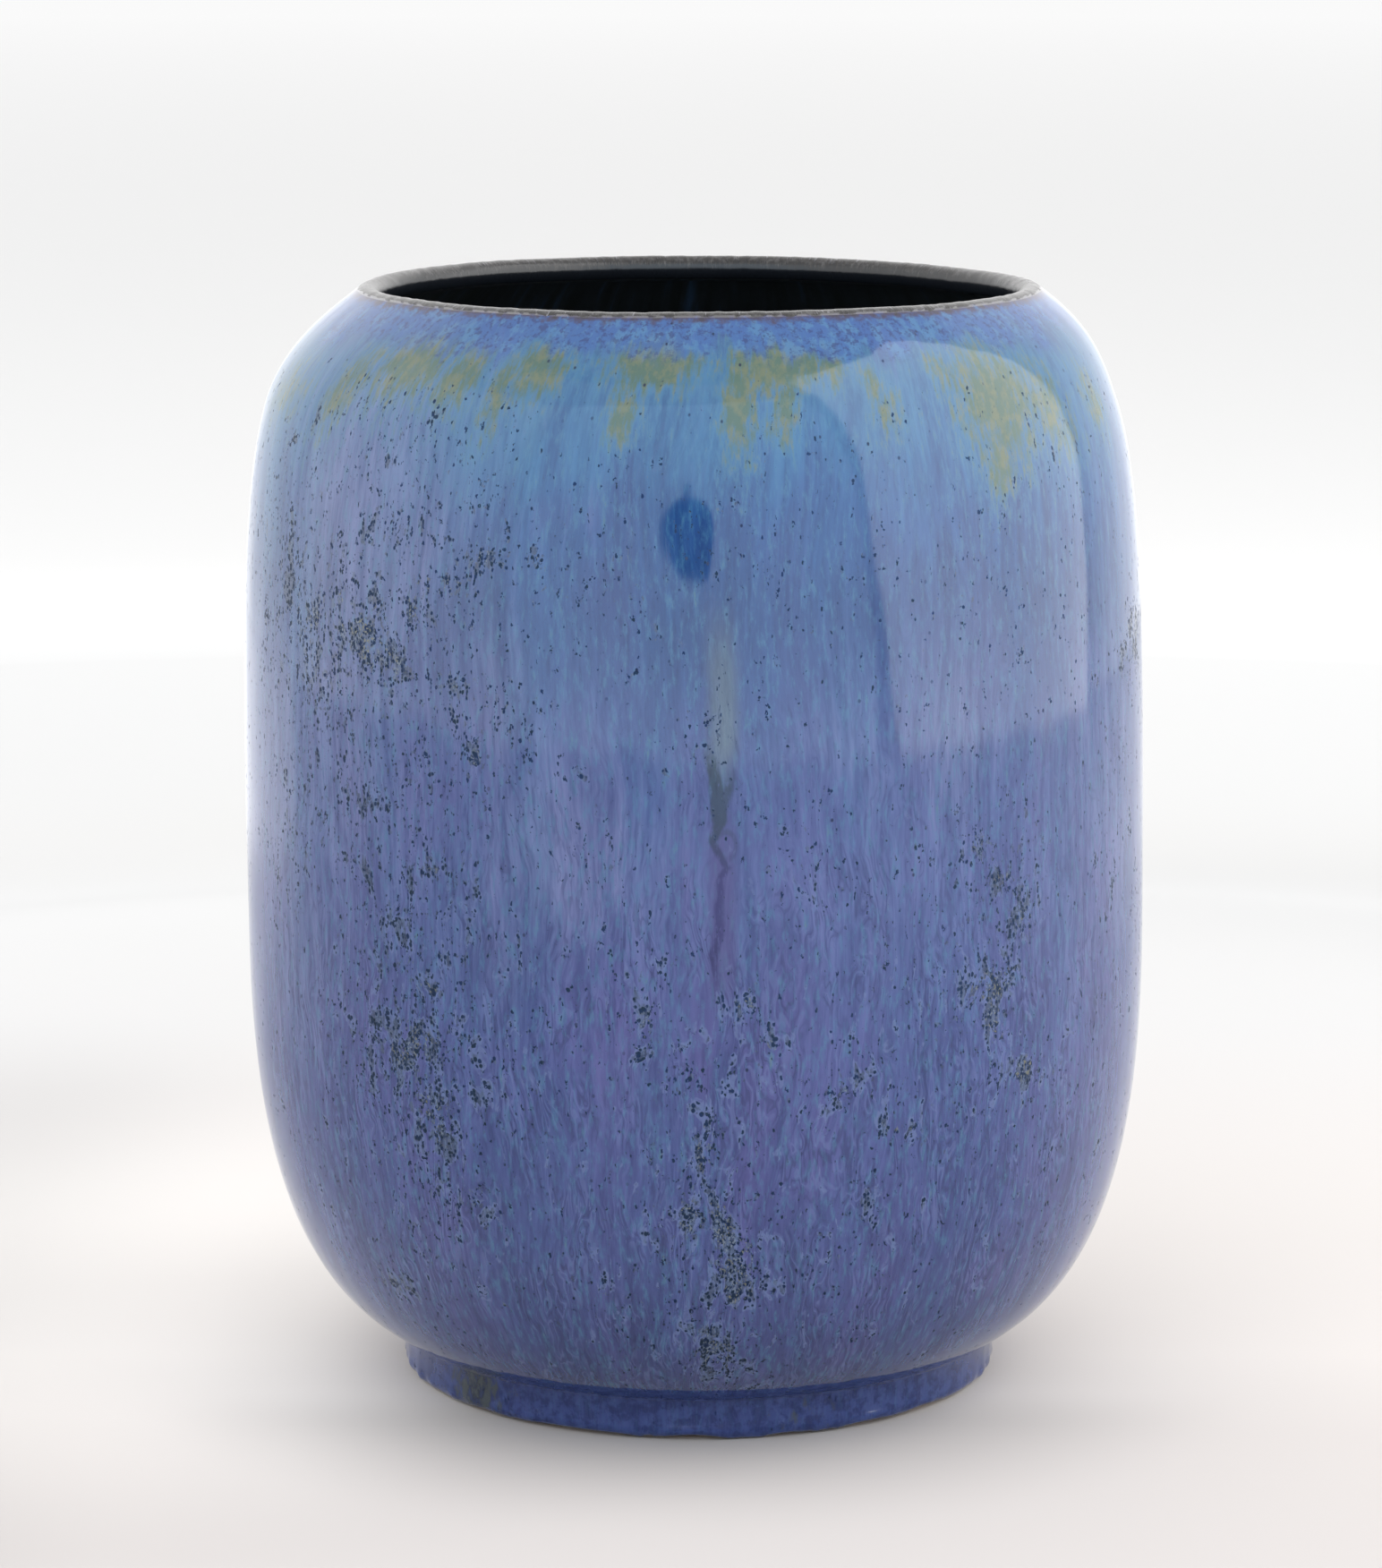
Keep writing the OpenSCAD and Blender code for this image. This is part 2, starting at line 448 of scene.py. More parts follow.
# Where the marks in the blue coat lie: degrees right, height, half width, half height, lean, strength
OCHRE = [
    (-43, 191, 9, 8, 0.2, 1.2), (-34, 189, 5, 7, 0.2, 1.1), (-54, 186, 6, 9, 0.4, 0.9),
    (-27, 187, 2.5, 8, 0.1, 1.0), (-22, 191, 6, 6, 0.2, 1.1),
    (-6, 192.5, 8, 5, 0.0, 1.4), (-9, 189, 2, 5, 0.1, 0.9),
    (-9, 184, 2.5, 5, 0.1, 1.2), (11, 192, 10, 5, 0.0, 1.3),
    (6, 186, 3.5, 9, 0.0, 1.2), (12, 185, 2.5, 6, 0.0, 1.1),
    (19, 192, 3, 5, -0.1, 1.0), (24, 189, 2, 4, -0.3, 0.8),
    (26, 184, 3, 5, 0.0, 0.9), (35, 190, 3, 4, -0.2, 0.9),
    (44, 185, 10, 11, -0.1, 1.2), (42, 174, 4, 6, -0.1, 1.0),
    (54, 183, 7, 9, -0.4, 1.0), (-72, 183, 12, 7, 0.4, 0.7), (68, 182, 6, 7, -0.3, 0.8),
    (90, 190, 9, 6, 0.0, 0.9), (105, 184, 5, 9, 0.0, 1.0),
    (121, 191, 10, 4, 0.0, 1.0), (140, 186, 4, 8, 0.0, 0.9),
    (158, 191, 9, 5, 0.0, 1.1), (171, 183, 3, 7, 0.0, 0.8),
    (-172, 190, 7, 5, 0.0, 1.0), (-150, 187, 6, 8, 0.0, 1.0),
    (-131, 191, 9, 4, 0.0, 1.0), (-117, 184, 4, 7, 0.0, 0.8), (-98, 190, 8, 6, 0.0, 1.0),
]
MAUVE = [
    (-8, 77, 10, 14, 0.0, 0.7), (1, 76, 2.5, 12, 0.0, 1.0),
    (8, 70, 7, 32, 0.1, 0.9), (-38, 62, 7, 25, 0.0, 0.7),
    (43, 32, 14, 8, 0.0, 0.7), (-31, 117, 12, 12, 0.0, 0.6),
    (-2, 103, 6, 9, 0.0, 0.6), (14, 57, 5, 18, 0.2, 0.8),
    (-15, 168, 16, 5, 0.0, 0.5), (60, 90, 10, 30, 0.0, 0.6),
    (95, 70, 12, 30, 0.0, 0.7), (130, 110, 10, 20, 0.0, 0.6),
    (165, 60, 14, 30, 0.0, 0.8), (-150, 85, 10, 30, 0.0, 0.7),
    (-110, 55, 14, 25, 0.0, 0.8), (-75, 95, 9, 25, 0.0, 0.6),
]
PALE = [
    (-45, 165, 22, 26, 0.0, 0.9), (-50, 125, 22, 20, 0.0, 0.8), (-16, 112, 14, 16, 0.0, 0.9),
    (33, 128, 7, 14, 0.0, 0.7), (-24, 130, 7, 20, 0.0, 0.6), (-17, 120, 14, 8, 0.0, 0.5),
    (-60, 85, 16, 22, 0.0, 0.6), (20, 130, 10, 14, 0.0, 0.4),
    (62, 110, 14, 30, 0.0, 0.7), (-24, 95, 9, 14, 0.0, 0.5),
    (100, 130, 18, 30, 0.0, 0.7), (145, 150, 20, 22, 0.0, 0.8),
    (-160, 140, 20, 26, 0.0, 0.8), (-115, 125, 20, 30, 0.0, 0.8),
]
PEPPERED = [
    (-45, 140, 32, 45, 0.0, 1.0), (-38, 70, 22, 30, 0.0, 0.8),
    (35, 90, 22, 32, 0.0, 0.9), (5, 45, 22, 26, 0.0, 0.8),
    (45, 160, 22, 14, 0.0, 0.5), (-8, 150, 22, 40, 0.0, 0.25),
    (15, 120, 16, 20, 0.0, 0.3), (90, 120, 30, 50, 0.0, 0.8),
    (140, 70, 30, 40, 0.0, 0.8), (-170, 130, 30, 40, 0.0, 0.9),
    (-130, 60, 26, 40, 0.0, 0.8), (-95, 150, 26, 30, 0.0, 1.0),
]
DEEP = [
    (0, 160, 16, 26, 0.0, 1.0), (4, 72, 8, 22, 0.0, 0.5),
    (-20, 84, 4, 20, 0.0, 0.5), (17, 145, 8, 16, 0.0, 0.4),
    (47, 154, 15, 28, 0.0, 0.75), (90, 100, 10, 30, 0.0, 0.6),
    (135, 140, 16, 30, 0.0, 0.6), (-170, 90, 10, 40, 0.0, 0.6),
    (-120, 150, 12, 30, 0.0, 0.6), (-85, 70, 9, 30, 0.0, 0.5),
]
TEAL = [
    (-6, 73, 2.5, 18, 0.0, 0.6), (-27, 175, 20, 9, 0.0, 0.8),
    (-57, 144, 8, 18, 0.0, 0.7), (21, 181, 12, 8, 0.0, 0.8),
    (-1, 177, 16, 8, 0.0, 0.8), (55, 172, 14, 9, 0.0, 0.8),
    (-70, 170, 12, 20, 0.0, 1.0), (95, 175, 20, 9, 0.0, 0.8),
    (140, 172, 24, 10, 0.0, 0.8), (178, 176, 20, 8, 0.0, 0.8),
    (-140, 174, 24, 9, 0.0, 0.8), (-100, 170, 18, 12, 0.0, 0.8),
    (150, 120, 6, 24, 0.0, 0.6), (-125, 105, 5, 22, 0.0, 0.6),
]
SPECKLE = [
    (-54, 146, 3, 3, 0.0, 1.0), (-48, 150, 4, 4, -0.4, 0.9),
    (-42, 152, 3, 5, 0.0, 0.8), (-36, 150, 3, 5, 0.0, 0.8),
    (-45, 145, 7, 4, -0.3, 1.2), (-41, 141, 6, 3, -0.8, 1.2),
    (-55, 138, 10, 8, 0.0, 0.5), (-34, 155, 4, 2, 1.0, 0.8),
    (-41, 163, 7, 3, 0.0, 0.6), (-47, 158, 5, 4, 0.0, 0.6),
    (-31, 155, 4, 2, 1.0, 0.9), (-28, 151, 1.5, 4, 0.0, 0.7),
    (-62, 158, 10, 16, 0.0, 0.5), (-26, 160, 3, 2, 0.8, 0.9),
    (-19, 160, 2, 2, 0.0, 0.8), (-30, 138, 5, 1.5, 0.0, 0.8),
    (-23, 136, 2, 2, 0.0, 0.8), (-20, 128, 1.5, 4, 0.0, 0.7),
    (-27, 126, 2, 2, 0.0, 1.0), (-44, 116, 5, 2, -0.6, 0.8),
    (-45, 104, 5, 2, 0.0, 0.7), (-32, 106, 6, 2, 0.5, 0.8),
    (-58, 106, 9, 10, 0.0, 0.5), (-34, 85, 3, 2, 0.0, 1.0),
    (-35, 93, 11, 6, 0.0, 0.6), (-37, 74, 8, 6, 0.3, 0.9),
    (-34, 63, 5, 8, -0.2, 0.9), (-29, 47, 6, 3, -0.5, 0.7),
    (-46, 28, 5, 3, 0.0, 0.9), (1, 60, 2, 6, 0.0, 1.0), (-1, 48, 2, 4, 0.0, 1.2), (3, 46, 3, 5, -0.2, 1.2),
    (5, 39, 4, 6, -0.1, 1.2), (5, 34, 3, 4, 0.0, 1.2), (2, 21, 6, 8, -0.2, 0.9), (-6, 81, 2, 5, 0.0, 0.9),
    (-4, 72, 1.5, 3, 0.0, 0.7), (-4, 60, 2, 3, 0.0, 0.8), (9, 78, 2, 3, 0.0, 0.9), (6, 86, 3, 3, 0.0, 0.9),
    (18, 69, 3, 3, 1.0, 0.8), (27, 110, 2.5, 2, 0.0, 1.0),
    (36, 110, 3.5, 2, 0.0, 1.0), (40, 103, 3, 2.5, 0.0, 0.9),
    (44, 95, 4, 5, 0.0, 0.8), (39, 85, 7, 4, 0.4, 1.0), (39, 78, 3, 5, -0.3, 1.0), (44, 69, 4, 3, 0.0, 1.1),
    (25, 62, 5, 3, -0.6, 0.8), (21, 48, 2, 3, 0.0, 0.7), (-27, 29, 3, 2, 0.0, 0.7),
    (75, 140, 8, 5, 0.0, 1.0), (92, 95, 6, 9, 0.0, 0.9), (110, 60, 9, 6, 0.3, 1.0), (128, 150, 7, 6, 0.0, 0.8),
    (150, 80, 5, 12, 0.0, 1.0), (172, 130, 10, 5, 0.0, 1.1),
    (-165, 50, 6, 10, 0.0, 1.1), (-140, 120, 8, 6, 0.0, 0.9),
    (-118, 80, 5, 9, 0.0, 1.0), (-95, 145, 9, 6, 0.0, 1.1), (-88, 40, 8, 5, 0.0, 0.9),
]
FOOT_SHADE = [
    (-63, 9, 3, 3, 0.0, -0.8), (-47, 5, 9, 6, 0.0, 1.0), (20, 5, 9, 4, 0.0, 0.5), (80, 6, 12, 4, 0.0, 0.8),
    (150, 6, 14, 4, 0.0, 0.7), (-120, 6, 12, 4, 0.0, 0.8),
]
# Where the long run stands out of the coat, its strength in mm
THICK_RUN = [(2.5, 128, 1.6, 24, 0.0, 0.22), (2.5, 98, 2.0, 7, 0.0, 0.25)]


# ---------------------------------------------------------------- finishes

GLAZE_IOR = 1.5


class Melt:
    """What the parts of the blue glaze share: the place in mm, and how the melt has moved and mottled."""

    def __init__(self, b):
        self.b = b
        self.flow = b.attribute("flow", out=1)
        self.right, self.back, _ = b.apart(self.flow)
        self.height = self.mask("height")
        # The melt wanders little high on the pot and curls more and more towards the foot
        self.curl = b.vector("SUBTRACT", b.noise(b.stretch(self.flow, 6, 13), detail=2, out=1), (0.5, 0.5, 0.5))
        slow = b.vector("SUBTRACT", b.noise(b.stretch(self.flow, 22, 50), detail=1, out=1), (0.5, 0.5, 0.5))
        pull = b.tree.nodes.new("ShaderNodeVectorMath")
        pull.operation = "SCALE"
        b.feed(pull.inputs[0], self.curl)
        b.feed(pull.inputs["Scale"], b.line(self.height, 10, 170, 3.6, 1.0))
        drift = b.vector("ADD", b.vector("MULTIPLY", pull.outputs[0], (1, 1, 0.6)),
                         b.vector("MULTIPLY", slow, (9, 9, 9)))
        self.melt = b.vector("ADD", self.flow, drift)
        self.curls = self.bent(4.5, 4.5, 7, start=self.melt)
        self.low_down = b.step(self.height, 150, 60)
        # Mottle of the melt, from hairlines to broad bands, and of the coat as it was poured
        self.fine = b.noise(b.stretch(self.melt, 0.48, 12), detail=3, rough=0.62)
        self.middle = b.noise(b.stretch(self.melt, 1.9, 24), detail=3, rough=0.6)
        self.broad = b.noise(b.stretch(self.melt, 8, 34), detail=3, rough=0.55)
        self.cloud = b.noise(b.stretch(self.flow, 20, 26), detail=2)
        self.crowd = b.noise(b.stretch(self.flow, 2.4, 3.2), detail=3, rough=0.6)
        self.ragged = b.swing(self.middle, 1.2)

    def mask(self, name):
        return self.b.attribute(name)

    def bent(self, x, y, z, start=None):
        """The place, pulled round by the curls."""
        pulled = self.b.vector("MULTIPLY", self.curl, (x, y, z))
        return self.b.vector("ADD", self.flow if start is None else start, pulled)

    def shifted(self, place, x, y, z):
        """The same place in another part of a noise, so that two noises don't match."""
        return self.b.vector("ADD", place, (x, y, z))


def colour_by_height(b, m):
    """Indigo at the foot to cobalt at the lip, pulled up and down by the broad streaks."""
    level = b.add(m.height, b.add(b.swing(m.broad, 30), b.swing(m.middle, 14)))
    body = b.stops(b.math("DIVIDE", level, 200), [
        (0.00, (0.022, 0.033, 0.105)), (0.10, (0.028, 0.038, 0.122)), (0.22, (0.033, 0.047, 0.145)),
        (0.38, (0.041, 0.056, 0.162)), (0.54, (0.052, 0.074, 0.185)), (0.66, (0.040, 0.066, 0.172)),
        (0.76, (0.024, 0.056, 0.152)), (0.84, (0.024, 0.068, 0.178)), (0.90, (0.028, 0.092, 0.200)),
        (0.955, (0.034, 0.104, 0.200)), (1.00, (0.028, 0.054, 0.150)),
    ])
    milky = b.step(b.add(m.mask("pale"), m.ragged), 0.1, 1.0, 0.0, 0.75)
    body = b.blend(milky, body, (0.088, 0.113, 0.226))
    zone = b.noise(b.stretch(m.shifted(m.melt, 0, 60, 0), 11, 70), detail=2, rough=0.5)
    cool, warm = b.tinted(body, (0.92, 0.99, 0.99)), b.tinted(body, (1.09, 1.01, 1.02))
    return b.blend(b.line(zone, 0.38, 0.62), cool, warm)


def hairlines(b, m, body):
    """Hare's-fur streaks, soft on the shoulder and crisper towards the foot. Keeps their shade for the run."""
    def by_height(low, high):
        return b.line(m.height, 60, 150, low, high)

    streak = b.add(b.times(m.middle, 0.40), b.times(m.broad, 0.26))
    streak = b.add(b.times(m.fine, by_height(0.34, 0.20)), streak)
    m.shade = b.line(streak, by_height(0.40, 0.34), by_height(0.60, 0.52), 0.0, 1.0)
    furred = b.blend(m.shade, b.tinted(body, (0.66, 0.69, 0.77)), b.tinted(body, (1.36, 1.30, 1.20)))
    return b.blend(by_height(1.0, 0.72), body, furred)


def mauve_and_teal(b, m, body):
    """Deeper, mauve and teal zones."""
    deep = b.step(b.add(m.mask("deep"), b.swing(m.broad, 1.0)), 0.0, 0.9)
    body = b.blend(deep, body, b.tinted(body, (0.62, 0.76, 0.84)))
    mauve = b.step(b.add(m.mask("mauve"), m.ragged), 0.25, 1.05, 0.0, 0.42)
    body = b.blend(mauve, body, (0.066, 0.052, 0.165))
    drifts = b.times(b.step(m.cloud, 0.50, 0.72, 0.0, 0.22), b.line(m.height, 60, 175, 1.0, 0.2))
    body = b.blend(drifts, body, (0.072, 0.064, 0.195))
    teal = b.step(b.add(m.mask("teal"), m.ragged), 0.3, 1.2, 0.0, 0.5)
    return b.blend(teal, body, (0.030, 0.112, 0.215))


def marbled_lines(b, m, body):
    """Pale and dark lines that follow the melt round its eddies."""
    eddy = b.noise(b.stretch(m.curls, 2.9, 32), detail=2, rough=0.5)
    marble = b.math("SINE", b.times(eddy, 44))
    where = b.step(b.noise(b.stretch(m.flow, 6, 12), detail=2), 0.36, 0.60)
    strength = b.times(b.line(m.low_down, 0, 1, 0.16, 1.0), where)
    body = b.blend(b.times(b.step(marble, 0.45, 1.0), b.times(strength, 0.34)), body, (0.098, 0.128, 0.262))
    return b.blend(b.times(b.step(marble, -0.50, -1.0), b.times(strength, 0.65)), body, (0.018, 0.026, 0.088))


def ochre_patches(b, m, body):
    """Ochre patches in a cyan halo, mottled and combed downwards."""
    comb = b.noise(b.stretch(m.flow, 1.0, 3.6), detail=4, rough=0.66)
    combed = b.add(m.mask("ochre"), b.swing(comb, 2.4))
    body = b.blend(b.step(combed, -0.1, 0.6, 0.0, 0.55), body, (0.046, 0.138, 0.225))
    ochre = b.blend(b.step(m.crowd, 0.42, 0.62), (0.058, 0.094, 0.060), (0.104, 0.116, 0.058))
    return b.blend(b.step(combed, 0.30, 1.05, 0.0, 0.88), body, ochre)


def band_under_lip(b, m, body):
    """Saturated cobalt with dark mottles just under the lip, its lower edge scalloped."""
    scallop = b.add(b.swing(b.noise(b.stretch(m.flow, 9, 9), detail=3), 13), b.swing(m.middle, 7))
    scallop = b.add(m.height, scallop)
    cobalt = b.blend(b.step(m.crowd, 0.48, 0.62), (0.028, 0.078, 0.220), (0.046, 0.125, 0.250))
    body = b.blend(b.times(b.step(scallop, 192.5, 195.5), 0.80), body, cobalt)
    mottle = b.step(b.noise(b.stretch(m.flow, 1.5, 1.3), detail=4, rough=0.75), 0.50, 0.62)
    body = b.blend(b.times(b.times(b.step(scallop, 191, 196), mottle), 0.75), body, (0.014, 0.026, 0.095))
    fringe = b.add(m.height, b.swing(b.noise(b.stretch(m.flow, 2.2, 1.8), detail=4, rough=0.65), 3.4))
    body = b.blend(b.step(fringe, 198.1, 199.1), body, (0.034, 0.030, 0.066))
    return b.blend(b.step(fringe, 198.9, 199.6), body, (0.024, 0.022, 0.026))


def long_run(b, m, body):
    """The long run down the front: a grey-green streak, a dark strand that forks and loops, a purple tail."""
    def off(centre):
        """How far to the side of a line down the front."""
        return b.math("ABSOLUTE", b.math("SUBTRACT", m.right, centre))

    def between(low_start, low_end, high_start, high_end):
        return b.times(b.step(m.height, low_start, low_end), b.step(m.height, high_start, high_end))

    def greys(values):
        return b.stops(b.line(m.height, 90, 130), [(place, (value,) * 3) for place, value in values])

    front = b.step(m.back, -40, -60)
    wobble = b.times(b.apart(m.curl)[0], 3)
    wide = b.times(b.step(off(b.add(4.8, wobble)), 3.8, 0.6), between(119, 130, 156, 140))
    body = b.blend(b.times(wide, b.times(front, 0.85)), body,
                   b.blend(m.shade, (0.048, 0.074, 0.112), (0.080, 0.112, 0.145)))
    path = greys([(0.00, 0.30), (0.10, 0.20), (0.18, 0.45), (0.32, 0.46), (0.42, 0.50), (0.47, 0.78),
                  (0.52, 0.50), (0.58, 0.22), (0.66, 0.50), (0.82, 0.38), (0.95, 0.10)])
    thick = greys([(0.0, 0.3), (0.15, 0.5), (0.40, 0.35), (0.58, 0.45), (0.72, 1.0), (0.85, 0.75), (1.0, 0.55)])
    frayed = b.swing(b.noise(b.stretch(m.flow, 0.8, 2.5), detail=2), 1.6)
    strand = off(b.add(2.2, b.add(b.times(path, 4.2), b.times(wobble, 0.12))))
    strand = b.step(b.add(b.math("SUBTRACT", strand, b.times(thick, 1.2)), b.times(frayed, 0.5)), 0.60, -0.20)
    strand = b.times(strand, between(84, 92, 131, 126))
    fork = off(b.add(b.line(m.height, 117, 126, 5.0, 6.8), wobble))
    fork = b.times(b.step(b.add(fork, b.times(frayed, 0.4)), 1.5, 0.3), between(116, 119, 126, 122))
    ring = b.put("ShaderNodeCombineXYZ", {0: b.math("DIVIDE", b.math("SUBTRACT", m.right, 5.3), 1.7),
                                          1: b.math("DIVIDE", b.math("SUBTRACT", m.height, 112.5), 2.4)})
    ring = b.step(b.math("ABSOLUTE", b.math("SUBTRACT", b.length(ring), 1.0)), 0.36, 0.08)
    strand = b.math("MAXIMUM", b.math("MAXIMUM", strand, b.times(fork, 0.9)), b.times(ring, 0.45))
    tail = b.times(b.step(off(4.6), 3.6, 0.8), between(80, 92, 122, 112))
    body = b.blend(b.times(tail, b.times(front, 0.55)), body, (0.046, 0.038, 0.120))
    grit = b.noise(b.stretch(m.flow, 0.5, 1.6), detail=2, rough=0.6)
    strand = b.times(strand, b.step(b.add(grit, b.times(thick, 0.2)), 0.40, 0.60, 0.35, 1.0))
    strand_shade = b.blend(b.step(m.height, 106, 117), (0.018, 0.020, 0.085), (0.014, 0.030, 0.048))
    return b.blend(b.times(strand, b.times(front, 0.80)), body, strand_shade)


def broken_places(b, m, body):
    """Small ragged islands of dark grit with pale rims, and dark tails below them. Also returns the grit."""
    small = b.noise(b.stretch(m.shifted(m.bent(3, 3, 3), 30, 0, 0), 1.1, 1.9), detail=3, rough=0.66)
    large = b.noise(b.stretch(m.shifted(m.curls, 0, 0, 40), 3.0, 6.5), detail=3, rough=0.6)
    wanted = b.add(b.times(m.mask("peppered"), 0.060), b.times(m.low_down, 0.012))
    wanted = b.add(wanted, b.swing(m.cloud, 0.18))
    gather = b.times(m.mask("speckle"), 0.20)
    small = b.add(b.add(small, wanted), b.times(gather, 0.6))
    large = b.add(b.add(large, b.times(wanted, 0.8)), gather)
    below_lip = b.step(m.height, 192, 184)
    large_core = b.times(b.step(large, 0.70, 0.76), b.step(m.height, 190, 178))
    core = b.math("MAXIMUM", b.times(b.step(small, 0.675, 0.73), below_lip), large_core)
    rim = b.times(b.step(large, 0.635, 0.69), b.line(m.low_down, 0, 1, 0.1, 0.65))
    body = b.blend(rim, body, (0.086, 0.118, 0.235))
    ground = b.blend(b.step(m.fine, 0.42, 0.60), (0.018, 0.030, 0.060), (0.050, 0.078, 0.130))
    body = b.blend(b.times(core, 0.72), body, ground)

    # Separate grains, thickest at the edges of the islands, that run together in the largest clusters
    place = m.bent(2, 2, 2)
    chance, width, tint = b.grain_dice(b.stretch(place, 0.62, 0.80))
    grit = b.math("SUBTRACT", b.grains(b.stretch(place, 0.62, 0.80), 0), b.line(width, 0, 1, 0.34, 0.62))
    edge = b.times(b.math("MAXIMUM", b.step(small, 0.612, 0.675), b.step(large, 0.650, 0.72)), below_lip)
    grit = b.times(b.step(grit, 0.06, -0.06), b.math("LESS_THAN", chance, b.times(edge, 0.68)))
    heart = b.step(m.mask("speckle"), 0.45, 0.9)
    blot = b.step(b.noise(b.stretch(m.shifted(place, 5, 0, 3), 0.95, 1.25), detail=3, rough=0.7), 0.50, 0.56)
    grit = b.math("MAXIMUM", grit, b.times(blot, b.times(large_core, b.line(heart, 0, 1, 0.35, 0.95))))
    flecks = b.noise(b.stretch(m.shifted(place, 0, 0, 17), 0.42, 0.55), detail=1, rough=0.5)
    flecks = b.times(b.step(flecks, 0.56, 0.63), b.times(core, heart))
    grit = b.times(grit, b.line(flecks, 0, 1, 1.0, 0.1))
    body = b.blend(b.times(grit, 0.92), body, b.blend(tint, (0.013, 0.026, 0.044), (0.012, 0.027, 0.074)))
    fleck_shade = b.blend(b.step(m.crowd, 0.45, 0.55), (0.120, 0.118, 0.070), (0.120, 0.150, 0.190))
    body = b.blend(b.times(flecks, 0.62), body, fleck_shade)
    tail = b.noise(b.stretch(m.shifted(m.melt, 30, 0, 3.5), 1.1, 6), detail=2, rough=0.55)
    tail = b.times(b.step(b.add(tail, wanted), 0.60, 0.74), b.step(m.height, 185, 130, 0.10, 0.55))
    return b.blend(tail, body, b.tinted(body, (0.55, 0.60, 0.70))), grit


def single_specks(b, m, body):
    """Specks on their own. Also returns where they are."""
    place = b.stretch(m.flow, 2.9, 3.6)
    chance, strength, _ = b.grain_dice(place)
    speck = b.times(b.math("GREATER_THAN", chance, 0.66), b.step(b.grains(place, 0), 0.12, 0.06))
    speck = b.times(speck, b.line(strength, 0, 1, 0.25, 0.9))
    return b.blend(speck, body, (0.010, 0.018, 0.048)), speck


def pool_on_foot(b, m, body):
    """Darker glaze pooled on the foot, with olive and black where it lies thick."""
    puddle = b.step(b.noise(b.stretch(m.flow, 3.5, 2.2), detail=3, rough=0.65), 0.38, 0.62)
    body = b.blend(b.times(b.step(m.height, 12, 9.5), 0.75), body,
                   b.blend(puddle, (0.009, 0.018, 0.080), (0.028, 0.046, 0.150)))
    pooled = b.step(b.add(m.mask("foot shade"), b.swing(m.crowd, 2.2)), 0.35, 0.9)
    olive = b.blend(b.step(m.crowd, 0.46, 0.56), (0.012, 0.016, 0.018), (0.038, 0.046, 0.040))
    return b.blend(b.times(pooled, b.step(m.height, 13, 9, 0.0, 0.85)), body, olive)


def blue_glaze_finish():
    material, b, shader = finish("flowing blue glaze")
    m = Melt(b)
    body = colour_by_height(b, m)
    for layer in (hairlines, mauve_and_teal, marbled_lines, ochre_patches, band_under_lip, long_run):
        body = layer(b, m, body)
    body, grit = broken_places(b, m, body)
    body, speck = single_specks(b, m, body)
    body = pool_on_foot(b, m, body)
    # Grit and specks are rougher than the glaze, and metallic
    b.feed(shader.inputs["Roughness"], b.line(b.math("MAXIMUM", grit, speck), 0, 1, 0.07, 0.5))
    b.feed(shader.inputs["Metallic"], b.math("MAXIMUM", b.times(grit, 0.9), b.times(speck, 0.7)))
    shader.inputs["IOR"].default_value = GLAZE_IOR
    b.feed(shader.inputs["Base Color"], body)
    relief = b.add(b.times(m.middle, 0.5), b.add(b.times(m.fine, 0.18), b.times(grit, -0.5)))
    b.bump(shader, relief, 0.05, 0.2)
    return material


def base_glaze_finish():
    material, b, shader = finish("dark first coat")
    flow = b.attribute("flow", out=1)
    mottled = b.noise(b.stretch(flow, 1.6, 1.2), detail=4, rough=0.65)
    ticks = b.noise(b.stretch(flow, 0.5, 2.2), detail=2, rough=0.6)
    body = b.stops(mottled, [
        (0.30, (0.008, 0.007, 0.008)), (0.50, (0.024, 0.022, 0.021)), (0.70, (0.070, 0.066, 0.066)),
    ])
    body = b.blend(b.step(ticks, 0.60, 0.72, 0.0, 0.6), body, (0.220, 0.210, 0.230))
    inside = b.step(b.add(b.attribute("inward"), b.swing(ticks, 4.5)), 1.5, 3.4)
    body = b.blend(inside, body, (0.004, 0.005, 0.007))
    shader.inputs["Roughness"].default_value = 0.22
    shader.inputs["IOR"].default_value = GLAZE_IOR
    b.feed(shader.inputs["Base Color"], body)
    b.bump(shader, ticks, 0.3, 0.2)
    return material


def lining_finish():
    material, b, shader = finish("black lining glaze")
    runs = b.noise(b.stretch(b.attribute("flow", out=1), 2.6, 26), detail=3, rough=0.6)
    body = b.stops(runs, [
        (0.35, (0.003, 0.004, 0.004)), (0.60, (0.006, 0.008, 0.010)), (0.75, (0.012, 0.024, 0.044)),
    ])
    shader.inputs["Roughness"].default_value = 0.42
    shader.inputs["Specular IOR Level"].default_value = 0.30
    shader.inputs["IOR"].default_value = GLAZE_IOR
    b.feed(shader.inputs["Base Color"], body)
    b.bump(shader, runs, 0.25, 0.3)
    return material


def clay_finish():
    material, b, shader = finish("bare toasted stoneware")
    place = b.put("ShaderNodeTexCoord", out=3)
    grog = b.noise(place, detail=6, rough=0.7, scale=900)
    toast = b.noise(place, detail=3, scale=60)
    body = b.stops(toast, [(0.35, (0.200, 0.095, 0.048)), (0.65, (0.330, 0.190, 0.110))])
    body = b.blend(b.step(grog, 0.55, 0.7, 0.0, 0.6), body, (0.090, 0.048, 0.030))
    b.feed(shader.inputs["Base Color"], body)
    b.feed(shader.inputs["Roughness"], b.line(grog, 0.3, 0.7, 0.75, 0.92))
    b.bump(shader, grog, 0.5, 0.3)
    return material


